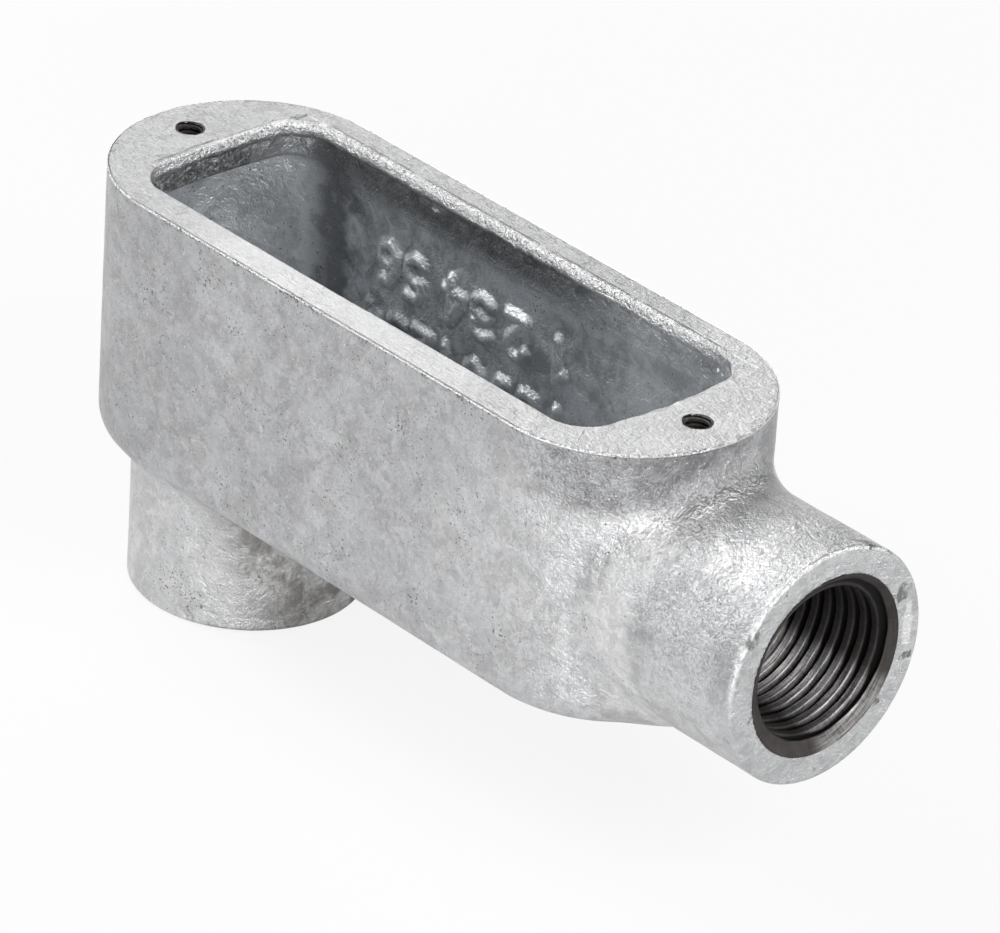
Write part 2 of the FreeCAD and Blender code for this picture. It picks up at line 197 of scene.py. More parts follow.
def casting_field(x, y, z, wavy=False):
    # below zero inside the metal, above zero outside, close to the true distance near its skin
    rho, near = around_arcs(x, y)
    trough = round_cut(rho - HALF_WIDE, BOTTOM - z, BOTTOM_ROUND)
    trough = round_cut(trough, z - RIM, RIM_ROUND)
    hub_rho = np.hypot(y, z - HUB_AXIS)
    hub = round_cut(hub_rho - HUB_R, x - HUB_REACH + 0.05, 0.45)
    hub = np.maximum(hub, ARC_RIGHT - x)
    cosine = y * y / np.maximum(rho * hub_rho, 1e-3)
    outer = blend_join(trough, hub, END_BLEND, cosine)
    back_rho = np.hypot(x, y)
    back = round_cut(back_rho - HUB_R, 0.05 - z, 0.7)
    back = np.maximum(back, z - BOTTOM - 12)
    outer = round_join(outer, back, BACK_BLEND)

    # towards the rim the long walls lean in to meet the opening: only its ends are undercut
    long_side = np.clip((37 - np.abs(x - MIDDLE)) / 7, 0, 1)
    narrow = NEAR_LAND_WIDER * np.clip((x - 8) / 46, 0, 1) * (y < 0)
    lean = np.clip((z - 44.5) / 4.9, 0, 1)
    lean = (LEAN + narrow) * long_side * lean * lean * (3 - 2 * lean)
    chamber = round_cut(rho - HALF_WIDE + WALL + lean, FLOOR - z, FLOOR_ROUND)
    marked = (y > 12.2) & (y < 15) & (x > 2) & (x < 42) & (z > 28) & (z < 46)
    if marked.any():
        chamber[marked] += numeral_relief(x[marked], z[marked])
    chamber = round_cut(chamber, z - RIM + LAND, 1.2)
    bow_r = (OPEN_WIDE ** 2 + OPEN_BOW ** 2) / (2 * OPEN_BOW)
    ends = np.hypot(np.abs(x - MIDDLE) + bow_r - OPEN_LONG, y) - bow_r
    opening = round_cut(np.abs(y) - OPEN_WIDE + narrow, ends, OPEN_CORNER)
    opening = np.maximum(opening, RIM - LAND - 1.5 - z)
    void = round_join(chamber, opening, 0.62 - 0.6 * long_side)

    end_throat = np.maximum(hub_rho - THROAT_R, ARC_RIGHT - x)
    void = round_join(void, end_throat, 0.8)
    back_throat = np.maximum(back_rho - THROAT_R, z - FLOOR - 2)
    void = round_join(void, back_throat, 0.8)
    for deep, radial in ((HUB_REACH - x, hub_rho), (z, back_rho)):
        bore = np.maximum(radial - MOUTH_R - 0.05, deep - BORE_DEEP - 0.1)
        lead = np.maximum(radial - THROAT_R - np.clip(BORE_DEEP + 1.25 - deep, 0, 1.3),
                          deep - BORE_DEEP - 1.4)
        void = np.minimum(void, np.minimum(bore, lead))
    worn = 0.06 + 0.7 * np.clip((y + 10) / 12, 0, 1) * np.clip((62 - x) / 10, 0.3, 1)
    skin = round_cut(outer, -void, np.where(z > RIM - 6, worn, 0.12))
    screw = np.hypot(np.abs(x - MIDDLE) - SCREW_OUT, y) - SCREW_VOID_R
    screw = np.maximum(screw, RIM - LAND - 2 - z)
    skin = np.maximum(skin, -screw)
    if wavy:
        # uneven skin as cast, flat where the rim was ground, ragged along the rim's edges
        ground = np.clip(np.maximum(np.maximum(z - RIM, x - HUB_REACH), -z) / 0.8 + 1.12, 0, 1)
        swell = 0.5 + 0.5 * grit(x, y, z, 6.5)
        lump = 0.5 + 0.5 * grit(x + 7, y, z - 3, 2.2)
        fine = 0.5 + 0.5 * grit(x, y + 5, z + 9, 0.9)
        outer_edge = np.abs(rho - HALF_WIDE)
        inner_edge = np.abs(np.maximum(np.abs(y) - OPEN_WIDE, ends))
        ragged = np.clip((0.7 + 0.6 * lump - inner_edge) / 0.35, 0, 1)
        ragged = ragged * np.clip(y / 6 + 1, 0, 1)
        ragged = np.maximum(ragged, 0.12 * np.clip(0.8 - outer_edge, 0, 1)) * (z > RIM - 2.5)
        skin = skin + (0.05 * swell + 0.035 * lump) * (1 - ground) + 0.012 * fine
        skin = skin + ragged * (0.04 * lump + 0.24 * fine)
    return skin


def uneven_field(x, y, z):
    return casting_field(x, y, z, True)


def slope(points):
    # how far each point is from the uneven skin, and the direction away from the metal there
    step = 0.02
    x, y, z = points.T.copy()
    rise = np.stack([uneven_field(x + step, y, z) - uneven_field(x - step, y, z),
                     uneven_field(x, y + step, z) - uneven_field(x, y - step, z),
                     uneven_field(x, y, z + step) - uneven_field(x, y, z - step)], 1)
    return uneven_field(x, y, z), rise / (2 * step)


def settle(points, rounds):
    # moves points onto the uneven skin
    for _ in range(rounds):
        here, rise = slope(points)
        steep = np.maximum((rise ** 2).sum(1), 0.2)
        move = rise * (here / steep)[:, None]
        far = np.linalg.norm(move, axis=1)
        points = points - move * np.minimum(1, 0.3 / np.maximum(far, 1e-9))[:, None]
    return points


def skin_mesh(low, high, step):
    # walks a fine grid and lays one corner in each cell that the skin passes through
    axes = [np.arange(a, b + step, step, dtype=np.float32) for a, b in zip(low, high)]
    values = np.empty([len(a) for a in axes], np.float32)
    for i in range(0, len(axes[0]), 24):
        slab = np.meshgrid(axes[0][i:i + 24], axes[1], axes[2], indexing="ij")
        values[i:i + 24] = casting_field(*slab)
    inside = values < 0
    shape = np.array(values.shape)
    weights = np.array([shape[1] * shape[2], shape[2], 1])
    corners, crossings, faces = [], [], []
    for axis in range(3):
        here = [slice(None)] * 3
        there = [slice(None)] * 3
        here[axis], there[axis] = slice(0, -1), slice(1, None)
        cell = np.argwhere(inside[tuple(here)] != inside[tuple(there)])
        first = values[tuple(cell.T)]
        beyond = cell.copy()
        beyond[:, axis] += 1
        last = values[tuple(beyond.T)]
        place = cell.astype(float)
        place[:, axis] += first / (first - last)
        b, c = (axis + 1) % 3, (axis + 2) % 3
        ring = []
        for db, dc in ((0, 0), (-1, 0), (-1, -1), (0, -1)):
            at = cell.copy()
            at[:, b] += db
            at[:, c] += dc
            ring.append(at @ weights)
        ring = np.stack(ring, 1)
        turned = first > 0
        ring[turned] = ring[turned][:, ::-1]
        faces.append(ring)
        crossings.append(np.repeat(place, 4, axis=0))
        corners.append(ring.ravel())
    _, back = np.unique(np.concatenate(corners), return_inverse=True)
    back = back.ravel()
    places = np.concatenate(crossings)
    count = np.bincount(back)
    points = np.stack([np.bincount(back, places[:, k]) / count for k in range(3)], 1)
    points = points * step + np.array(low)
    return points, back.reshape(-1, 4)


def mesh_from(name, points, faces):
    mesh = bpy.data.meshes.new(name)
    mesh.vertices.add(len(points))
    mesh.vertices.foreach_set("co", np.asarray(points, np.float32).ravel())
    sides = faces.shape[1]
    mesh.loops.add(faces.size)
    mesh.loops.foreach_set("vertex_index", faces.astype(np.int32).ravel())
    mesh.polygons.add(len(faces))
    mesh.polygons.foreach_set("loop_start", np.arange(0, faces.size, sides, dtype=np.int32))
    mesh.update(calc_edges=True)
    return mesh


def show(name, mesh):
    piece = bpy.data.objects.new(name, mesh)
    bpy.context.scene.collection.objects.link(piece)
    return piece


def corners_of(mesh):
    points = np.empty(len(mesh.vertices) * 3, np.float32)
    mesh.vertices.foreach_get("co", points)
    return points.reshape(-1, 3).astype(float)


def make_casting():
    # meshed on a grid, thinned, and settled on the uneven skin, whose own normals it then takes
    grid = GRID
    points, faces = skin_mesh((-20.6, -18.2, -1.3), (97.4, 18.2, 55.1), grid)
    points = settle(points, 3)
    piece = show("casting", mesh_from("casting", points, faces))
    thin = piece.modifiers.new("thin", "DECIMATE")
    thin.ratio = min(1.0, MOST_TRIANGLES / (2 * len(faces)))
    thin.use_collapse_triangulate = True
    done = bpy.data.meshes.new_from_object(
        piece.evaluated_get(bpy.context.evaluated_depsgraph_get()))
    piece.modifiers.clear()
    piece.data = done
    done.name = "casting"
    points = settle(corners_of(done), 2)
    _, rise = slope(points)
    rise /= np.maximum(np.linalg.norm(rise, axis=1), 1e-9)[:, None]
    points[:, 2] -= MOUTH
    points = np.clip(points * MM, np.array(cad_low), np.array(cad_high))
    done.vertices.foreach_set("co", points.astype(np.float32).ravel())
    done.polygons.foreach_set("use_smooth", np.ones(len(done.polygons), bool))
    done.update()
    done.normals_split_custom_set_from_vertices(rise.astype(np.float32))
    return piece


class Wire:
    # one socket of a node tree, so that sums on it can be written as sums
    def __init__(self, board, socket):
        self.board = board
        self.socket = socket

    def sum(self, operation, *values):
        return self.board.node("ShaderNodeMath", {"operation": operation}, values)

    def __add__(self, other):
        return self.sum("ADD", self, other)

    def __radd__(self, other):
        return self.sum("ADD", other, self)

    def __sub__(self, other):
        return self.sum("SUBTRACT", self, other)

    def __rsub__(self, other):
        return self.sum("SUBTRACT", other, self)

    def __mul__(self, other):
        return self.sum("MULTIPLY", self, other)

    def __truediv__(self, other):
        return self.sum("DIVIDE", self, other)

    def __neg__(self):
        return self.sum("MULTIPLY", self, -1.0)

    def __abs__(self):
        return self.sum("ABSOLUTE", self)

    def __pow__(self, other):
        return self.sum("POWER", self, other)

    def least(self, other):
        return self.sum("MINIMUM", self, other)

    def most(self, other):
        return self.sum("MAXIMUM", self, other)

    def wave(self, kind):
        return self.sum(kind, self)


class Board:
    # a node tree and the one way in which nodes are put on it
    def __init__(self, tree):
        self.tree = tree
        tree.nodes.clear()

    def node(self, kind, settings=None, values=None, out=0):
        made = self.tree.nodes.new(kind)
        for name, value in (settings or {}).items():
            setattr(made, name, value)
        if isinstance(values, dict):
            pairs = values.items()
        else:
            pairs = enumerate(values or ())
        for key, value in pairs:
            socket = made.inputs[key]
            if isinstance(value, Wire):
                self.tree.links.new(value.socket, socket)
            elif value is not None:
                socket.default_value = value
        return Wire(self, made.outputs[out])

    def noise(self, where, scale, detail=2.0, rough=0.5, warp=0.0):
        return self.node("ShaderNodeTexNoise", {"noise_dimensions": "3D"},
                         {"Vector": where, "Scale": scale, "Detail": detail, "Roughness": rough,
                          "Distortion": warp})

    def step(self, value, low, high, start=0.0, end=1.0):
        # eases from start to end while value goes from low to high
        return self.node("ShaderNodeMapRange", {"interpolation_type": "SMOOTHSTEP"},
                         {"Value": value, "From Min": low, "From Max": high, "To Min": start,
                          "To Max": end})

    def tint(self, factor, a, b):
        # colour a turning into colour b as the factor goes from 0 to 1
        return self.node("ShaderNodeMix", {"data_type": "RGBA"}, {0: factor, 6: a, 7: b}, 2)

    def stretched(self, vector, stretch):
        return self.node("ShaderNodeVectorMath", {"operation": "MULTIPLY"},
                         {0: vector, 1: stretch})

    def parts(self, vector):
        split = self.node("ShaderNodeSeparateXYZ", None, [vector])
        outputs = split.socket.node.outputs
        return [Wire(self, outputs[k]) for k in range(3)]


def grey(r, g=None, b=None):
    return (r, r if g is None else g, r if b is None else b, 1.0)


WHITE = grey(1.0)


def surface_board(name):
    material = bpy.data.materials.new(name)
    material.use_nodes = True
    board = Board(material.node_tree)
    here = board.node("ShaderNodeTexCoord", None, None, 3)
    place = board.node("ShaderNodeVectorMath", {"operation": "SCALE"},
                       {"Vector": here, "Scale": 1 / MM})
    return material, board, place


def finish_board(board, colour, rough, metal, normal):
    shader = board.node("ShaderNodeBsdfPrincipled", None, {
        "Base Color": colour, "Roughness": rough, "Metallic": metal, "Normal": normal})
    show_surface(board, shader)


def show_surface(board, shader):
    out = board.tree.nodes.new("ShaderNodeOutputMaterial")
    board.tree.links.new(shader.socket, out.inputs["Surface"])


def casting_finish():
    material, b, place = surface_board("zinc coated casting")
    x, y, z = b.parts(place)
    z = z + MOUTH

    # where on the casting: ground rim, its two edges, the inside, the hub's face
    along = x - x.most(ARC_LEFT).least(ARC_RIGHT)
    rho = (along * along + y * y) ** 0.5
    corner_x = (abs(x - MIDDLE) - (OPEN_LONG - 0.4 - OPEN_CORNER)).most(0.0)
    corner_y = (abs(y) - (OPEN_WIDE - OPEN_CORNER)).most(0.0)
    inner = (corner_x * corner_x + corner_y * corner_y) ** 0.5 - OPEN_CORNER
    on_rim = b.step(z, RIM - 0.25, RIM - 0.08)
    high = b.step(z, RIM - 1.8, RIM - 1.1)
    inside = b.step(rho, 15.0, 14.2) * b.step(z, FLOOR - 1.4, FLOOR - 0.8)
    inside = inside * b.step(z, RIM - 0.5, RIM - 1.3)
    on_face = b.step(x, HUB_REACH - 0.45, HUB_REACH - 0.15)

    # noise, from the widest clouding down to the sandy grain
    cloud = b.noise(place, 0.055, 2.0, 0.55)
    patch = b.noise(place, 0.17, 3.0, 0.6, 0.4)
    mottle = b.noise(place, 0.55, 3.0, 0.65, 0.6)
    crinkle = b.noise(place, 1.15, 3.0, 0.62, 1.3)
    grain = b.noise(place, 2.9, 2.0, 0.7)
    sand = b.noise(place, 6.5, 1.0, 0.6)
    ridge = b.step(abs(crinkle - 0.5), 0.075, 0.0)
    root = b.step(x, 50.0, 70.0) * b.step(z, 24.0, 44.0)
    rugged = b.step(cloud * 0.35 + patch * 0.65 + root * 0.14, 0.52, 0.66)
    # painted light: the zinc is painted brighter towards the end hub and on it, where the light
    # falls stronger
    turned_z = z - HUB_AXIS
    face_rho = (y * y + turned_z * turned_z) ** 0.5
    brighter = b.step(x + (cloud - 0.5) * 16.0, 34.0, 62.0) * b.step(z, RIM - 1.0, RIM - 9.0)
    tone = cloud * 0.12 + patch * 0.2 + mottle * 0.42 + grain * 0.26
    spread = b.step(tone, 0.38, 0.62)

    def mottled(dark, light):
        return b.tint(spread, dark, light)

    colour = b.tint(brighter, mottled(grey(0.39, 0.391, 0.403), grey(0.645, 0.647, 0.656)),
                    mottled(grey(0.475, 0.476, 0.486), grey(0.755, 0.758, 0.765)))
    # the end hub: painted shade on its side, a painted highlight along its upper back, and a
    # painted highlight ring where it leaves the trough
    on_hub = b.step(face_rho, HUB_R + 3.5, HUB_R + 0.8) * b.step(x, 66.0, 76.0)
    colour = b.tint(on_hub * b.step(turned_z, 12.0, 7.5) * b.step(turned_z, -3.0, 4.0), colour,
                    mottled(grey(0.34, 0.344, 0.356), grey(0.55, 0.556, 0.566)))
    colour = b.tint(on_hub * b.step(turned_z, 9.5, 13.0) * 0.9, colour,
                    mottled(grey(0.78), WHITE))
    junction_highlight = b.step(abs(rho - 20.0 + (patch - 0.5) * 5.0), 3.6, 1.0)
    junction_highlight = junction_highlight * b.step(face_rho, HUB_R + 4.0, HUB_R + 1.5) * b.step(x, 62.0, 68.0)
    colour = b.tint(junction_highlight * 0.85, colour, mottled(grey(0.7), WHITE))
    # painted shade in the hollow between the hub and the rim's end, and painted light on the back
    # hub
    shoulder_shade = b.step(x, 62.0, 70.0) * b.step(z, 45.0, 48.0) * b.step(z, RIM - 0.2, RIM - 0.7)
    shoulder_shade = shoulder_shade * b.step(rho, 20.5, 18.4)
    colour = b.tint(shoulder_shade * 0.9, colour, mottled(grey(0.17, 0.17, 0.18), grey(0.28)))
    back_hub_light = b.step(z, BOTTOM + 1.5, BOTTOM - 1.5)
    colour = b.tint(back_hub_light * 0.8, colour, mottled(grey(0.59), grey(0.87)))
    # bluish and yellowish patches, sandy grain, bright ridges, and painted shade low down on the
    # left end
    colour = b.tint(b.step(patch, 0.46, 0.62) * 0.4, colour, grey(0.49, 0.502, 0.525))
    colour = b.tint(b.step(patch, 0.42, 0.3) * 0.25, colour, grey(0.62, 0.624, 0.605))
    colour = b.tint(b.step(sand, 0.34, 0.66, 0.12, 0.0), colour, grey(0.22, 0.22, 0.226))
    outdoors = 1 - inside
    ridged = ridge * outdoors * (rugged * 0.5 + 0.04) * (1 - shoulder_shade * 0.6)
    colour = b.tint(ridged, colour, grey(0.9, 0.9, 0.908))
    left_end_shade = b.step(x, 20.0, -8.0) * b.step(z, BOTTOM, BOTTOM + 7.0)
    colour = b.tint(left_end_shade * 0.16, colour, grey(0.2))

    # the rim is ground: brighter, with faint long scratches
    scratch = b.noise(b.stretched(place, (0.5, 3.2, 1.0)), 1.6, 2.0, 0.6)
    ground = b.tint(b.step(scratch * 0.3 + grain * 0.35 + mottle * 0.35, 0.4, 0.58),
                    grey(0.4, 0.402, 0.409), grey(0.565, 0.567, 0.573))
    # painted light: the rim's near land and its right end are painted lighter
    near_land_light = b.step(y, -9.0, -12.0) * b.step(x, 0.0, 14.0) * b.step(x, 60.0, 48.0)
    polish_and_painted_light = ridge * 0.22 + b.step(x, 50.0, 66.0) * 0.42 + near_land_light * 0.4
    ground = b.tint(polish_and_painted_light.least(1.0), ground, grey(0.97))
    colour = b.tint(on_rim, colour, ground)

    # inside it stays a little bluer and mottled, with painted light on both ends, painted shade in
    # a streak above the back hub and in a band under the far rim, and a painted highlight on the
    # numerals' tops
    inside_mottle = b.step(patch * 0.6 + mottle * 0.4, 0.36, 0.6)
    inside_colour = b.tint(inside_mottle, grey(0.36, 0.378, 0.396), grey(0.72, 0.748, 0.775))
    # painted light: both ends of the chamber are painted lighter
    inside_colour = b.tint(b.step(x, -1.5, -6.5) + b.step(x, 40.0, 54.0), inside_colour,
                    b.tint(inside_mottle, grey(0.6, 0.615, 0.63), grey(0.94, 0.96, 0.98)))
    # painted shade: a dark streak in the far corner above the back hub
    shade = b.step(abs(x + 2.6 + (mottle - 0.5) * 6.0 + (patch - 0.5) * 9.0), 4.8, 0.5)
    shade = shade * b.step(y, 8.0, 12.0)
    inside_colour = b.tint(shade * 0.85, inside_colour, grey(0.13, 0.138, 0.146))
    # painted shade: a dark band under the far rim
    under_rim_shade = b.step(z + (mottle - 0.5) * 2.0 - b.step(x, -3.0, -6.0) * 0.6,
                       RIM - 6.6, RIM - 3.6)
    under_rim_shade = under_rim_shade * b.step(x, 52.0, 34.0) * b.step(x, -6.5, -3.5, 0.62, 0.92)
    inside_colour = b.tint(under_rim_shade, inside_colour,
                    b.tint(inside_mottle, grey(0.075, 0.08, 0.084), grey(0.17, 0.177, 0.184)))
    # painted highlight on the numerals' tops
    numeral_highlight = b.step(y, 13.35, 12.85) * b.step(y, 12.3, 12.6)
    numeral_highlight = numeral_highlight * b.step(x, 0.0, 3.0) * b.step(z, 45.4, 44.4)
    inside_colour = b.tint(numeral_highlight * 0.45, inside_colour, grey(0.95))
    colour = b.tint(inside * 0.88, colour, inside_colour)
    # the skin over the left end's lip is rough and burnt on the near side of a seam
    burnt = inside * b.step(x, -6.0, -7.0) * b.step(z, RIM - 5.2, RIM - 4.4)
    burnt = burnt * b.step(y + (mottle - 0.5) * 2.0, 5.4, 4.8)
    colour = b.tint(burnt * b.step(crinkle, 0.62, 0.4) * 0.8, colour, grey(0.1))

    # bright broken edge round the opening and along the outside of the rim: partly worn metal,
    # partly a painted highlight
    torn = b.noise(place, 2.3, 2.0, 0.72)
    inner_band = b.step(abs(inner - 0.3), 1.0, 0.45) * high * b.step(y, -11.0, -6.0)
    inner_band = inner_band * b.step(x, 66.0, 58.0)
    outer_band = b.step(abs(rho - HALF_WIDE), 0.3, 0.1) * b.step(z, RIM - 0.5, RIM - 0.25)
    edge = inner_band * b.step(torn, 0.3, 0.42) + outer_band * b.step(torn, 0.3, 0.42)
    colour = b.tint(edge.least(1.0) * 0.95, colour, WHITE)

    # light flecks of loose zinc, and dark pits, more of them just below the outer edge
    fleck = b.step(b.noise(place, 3.7, 2.0, 0.6), 0.67, 0.72)
    colour = b.tint(fleck * 0.75, colour, WHITE)
    pits = b.noise(place, 2.7, 2.0, 0.55)
    often = b.noise(place, 0.2, 2.0, 0.6)
    below_edge = b.step(z, RIM - 1.0, RIM - 0.4) * b.step(z, RIM - 0.1, RIM - 0.3)
    fewer = on_rim * 0.03 + b.step(x, 50.0, 66.0) * 0.03 + inner_band * 0.2
    pitted = b.step(pits + often * 0.4 + below_edge * 0.11 - fewer, 0.86, 0.92)
    colour = b.tint(pitted * 0.8, colour, grey(0.1, 0.098, 0.095))

    # the end hub's face: blotchy, with a painted highlight on its edge at the top, a bright patch
    # and dark smudges
    smear = b.noise(place, 0.5, 3.0, 0.7)

    def spot(across, up, wide, tall):
        u, v = (y - across) / wide, (z - up) / tall
        return b.step(u * u + v * v, 1.0, 0.2)

    face_tone = b.tint(b.step(smear, 0.36, 0.62), grey(0.46, 0.466, 0.472),
                       grey(0.59, 0.596, 0.602))
    colour = b.tint(on_face * 0.85, colour, face_tone)
    hub_edge_highlight = b.step(abs(face_rho - HUB_R + 0.15), 0.5, 0.2)
    hub_edge_highlight = hub_edge_highlight * b.step(x, HUB_REACH - 1.0, HUB_REACH - 0.5)
    hub_edge_highlight = hub_edge_highlight * b.step(turned_z - y * 0.5, 4.0, 11.0, 0.0, 0.5)
    colour = b.tint(hub_edge_highlight * b.step(torn, 0.36, 0.5), colour, WHITE)
    bright_patch = spot(12.4, 34.6, 0.9, 4.0) * on_face * b.step(smear, 0.35, 0.5)
    colour = b.tint(bright_patch * 0.6, colour, grey(0.95))
    dark_spots = spot(-11.7, 41.3, 1.5, 2.9)
    for where in ((6.2, 46.9, 4.2, 0.9), (7.9, 26.4, 1.8, 1.6), (11.4, 39.0, 2.2, 1.5),
                  (12.4, 30.4, 1.3, 0.7)):
        dark_spots = dark_spots.most(spot(*where))
    smudge = b.step(smear * 0.8 + torn * 0.2 + dark_spots * 0.13, 0.58, 0.72)
    smudge = smudge * b.step(x, HUB_REACH - 2.0, HUB_REACH - 1.0)
    colour = b.tint(smudge * 0.8, colour, grey(0.1, 0.096, 0.09))

    # painted shade: the back hub is painted dark brown low down under the trough
    under = b.step(x + y * 0.3 + z * 0.4, 6.0, 15.0) * b.step(z, BOTTOM + 1.5, BOTTOM - 1.0)
    under_trough_shade = under * b.step(mottle * 0.5 + patch * 0.5, 0.36, 0.6)
    colour = b.tint(under_trough_shade * 0.85, colour, grey(0.13, 0.117, 0.102))

    upper = on_hub * b.step(turned_z, 7.5, 11.0)
    rough = 0.27 + mottle * 0.16 + grain * 0.12
    rough = rough - on_rim * 0.03 - fleck * 0.1 - edge * 0.1 - upper * 0.08
    height = mottle * 1.4 + crinkle * (rugged * outdoors * 0.9 + burnt * 1.5 + 0.12)
    height = height + grain * 0.55 + sand * 0.15
    height = height * (1 - on_rim * 0.45) + scratch * on_rim * 0.4
    height = height + edge * (torn * 2.4 + crinkle * 1.2)
    normal = b.node("ShaderNodeBump", None,
                    {"Strength": 0.9, "Distance": 0.00028, "Height": height})
    finish_board(b, colour, rough, 0.8 - pitted * 0.4 - under_trough_shade * 0.4, normal)
    return material


def bore_finish(name, dark, light):
    material, b, place = surface_board(name)
    rolled = b.node("ShaderNodeAttribute", {"attribute_name": "rolled"}, None, 1)
    valley = b.node("ShaderNodeAttribute", {"attribute_name": "valley"}, None, 2)
    # lines that run round the hole, and short chatter marks across the turns
    rings = b.noise(b.stretched(rolled, (1.5, 1.5, 5.0)), 1.4, 3.0, 0.7)
    chatter = b.noise(b.stretched(rolled, (28.0, 28.0, 0.5)), 1.5, 3.0, 0.7)
    stain = b.noise(place, 0.45, 4.0, 0.65)
    colour = b.tint(b.step(stain * 0.6 + rings * 0.4, 0.38, 0.62), dark, light)
    aside, above, deep = b.parts(rolled)
    chatter = chatter * b.step(deep, 0.9, 2.2, 0.8, 1.0)
    # the tops of the turns are worn and carry a painted highlight, and a painted sheen lies low
    # down on the right
    painted_sheen = b.step(aside * 0.53 - above * 0.85, 0.8, 0.98)
    worn_crest_highlight = b.step(valley, 0.16, 0.03)
    colour = b.tint(worn_crest_highlight * b.step(chatter, 0.3, 0.6, 0.3, 0.7), colour, grey(0.075, 0.07, 0.068))
    colour = b.tint(b.step(chatter, 0.5, 0.72) * 0.08, colour, grey(0.3, 0.287, 0.282))
    colour = b.tint(painted_sheen * b.step(rings * 0.7 + chatter * 0.3, 0.32, 0.6) * 0.8, colour,
                    grey(0.5, 0.485, 0.485))
    # painted shade fills the valleys and darkens the upper half
    colour = b.tint(b.step(valley - painted_sheen * 0.3, 0.04, 0.27) * 0.95, colour, grey(0.005))
    colour = b.tint(b.step(above, -0.5, 0.3) * b.step(deep, 0.6, 2.0) * 0.5, colour, grey(0.01))
    rough = 0.5 + stain * 0.14 + chatter * 0.1 - painted_sheen * 0.2
    normal = b.node("ShaderNodeBump", None, {"Strength": 0.6, "Distance": 0.00005,
                                             "Height": rings + chatter * 0.35})
    finish_board(b, colour, rough, 0.85, normal)
    return material


def floor_finish():
    # pale, and nearly white by itself where the camera sees it
    material, b, _ = surface_board("studio floor")
    rays = b.node("ShaderNodeLightPath")
    camera = Wire(b, rays.socket.node.outputs["Is Camera Ray"])
    diffuse = b.node("ShaderNodeBsdfDiffuse", None, {"Color": grey(0.858)})
    glow = b.node("ShaderNodeEmission", None, {"Color": WHITE, "Strength": 1.0})
    show_surface(b, b.node("ShaderNodeMixShader", None, [camera * 0.85, diffuse, glow]))
    return material


def thread_tree():
    # a tapped hole as one skin: a thin lip on the face, the mouth chamfer, the turns, the step
    # down to the throat. It is laid out flat, rolled round its axis and closed.
    tree = bpy.data.node_groups.new("tapped hole", "GeometryNodeTree")
    sockets = {}
    # the values that the half-inch hubs take
    wanted = [("Crest radius", 9.15), ("Tooth height", 1.45), ("Pitch", 1.814), ("Taper", 0.03125),
              ("Length", BORE_DEEP), ("Mouth radius", MOUTH_R), ("Mouth slope", 1.5),
              ("Throat radius", THROAT_R - 0.02), ("Throat bevel", 1.0), ("Lip", 0.16),
              ("Tail", 4.5), ("Lift", 0.03), ("Start", 0.5), ("Rows", 190), ("Round", 128),
              ("Finish", None)]
    kinds = {float: "NodeSocketFloat", int: "NodeSocketInt", type(None): "NodeSocketMaterial"}
    for name, value in wanted:
        made = tree.interface.new_socket(name, in_out="INPUT", socket_type=kinds[type(value)])
        if value is not None:
            made.default_value = value
        sockets[name] = made.identifier
    tree.interface.new_socket("Mesh", in_out="OUTPUT", socket_type="NodeSocketGeometry")
    b = Board(tree)
    entry = tree.nodes.new("NodeGroupInput")
    given = {name: Wire(b, entry.outputs[name]) for name in sockets}
    length, lip, tail = given["Length"], given["Lip"], given["Tail"]
    whole = length + lip + tail
    sheet = b.node("GeometryNodeMeshGrid", None, {"Size X": whole, "Size Y": 1.0,
                                                  "Vertices X": given["Rows"],
                                                  "Vertices Y": given["Round"]})
    along, across, _ = b.parts(b.node("GeometryNodeInputPosition"))
    along = along + whole * 0.5 - lip
    turn = across + 0.5
    deep = along.most(0.0).least(length)
    before = (-along).most(0.0)
    behind = (along - length).most(0.0)
    cone = given["Mouth radius"] - deep * given["Mouth slope"]
    phase = (deep / given["Pitch"] + turn + given["Start"]).wave("FRACT")
    ramp = abs(phase * 2.0 - 1.0)
    tooth = (ramp - 0.48).most(0.0) / 0.52 + ramp * 0.03
    ending = b.step(deep, length - 2.6, length - 0.3, 1.0, 0.15)
    thread = given["Crest radius"] - deep * given["Taper"] + given["Tooth height"] * tooth * ending
    hole = cone.most(thread)
    stepped = hole + before - behind
    radius = stepped.most(given["Throat radius"])
    inward = (given["Throat radius"] + given["Throat bevel"] - (hole - behind)).most(0.0)
    inward = inward * (behind * 1000.0).least(1.0)
    lift = (before * 10.0).least(1.0) * given["Lift"]
    angle = turn * (2 * math.pi)
    spot = b.node("ShaderNodeCombineXYZ", None, [radius * angle.wave("COSINE"),
                                                 radius * angle.wave("SINE"),
                                                 lift - deep - inward])
    # kept on the skin for its finish: the direction round the axis with the depth, and how far
    # down a valley a point lies
    rolled = b.node("ShaderNodeCombineXYZ", None,
                    [angle.wave("COSINE"), angle.wave("SINE"), deep])
    valley = tooth * ending * ((thread - cone) * 5.0).most(0.0).least(1.0)
    marked = sheet
    for name, kind, value in (("rolled", "FLOAT_VECTOR", rolled), ("valley", "FLOAT", valley)):
        marked = b.node("GeometryNodeStoreNamedAttribute", {"data_type": kind, "domain": "POINT"},
                        {"Geometry": marked, "Name": name, "Value": value})
    moved = b.node("GeometryNodeSetPosition", None, {"Geometry": marked, "Position": spot})
    closed = b.node("GeometryNodeMergeByDistance", None, {"Geometry": moved, "Distance": 0.002})
    smooth = b.node("GeometryNodeSetShadeSmooth", None, {"Geometry": closed})
    real = b.node("GeometryNodeRealizeInstances", None, {"Geometry": smooth})
    painted = b.node("GeometryNodeSetMaterial", None,
                     {"Geometry": real, "Material": given["Finish"]})
    out = tree.nodes.new("NodeGroupOutput")
    tree.links.new(painted.socket, out.inputs[0])
    return tree, sockets


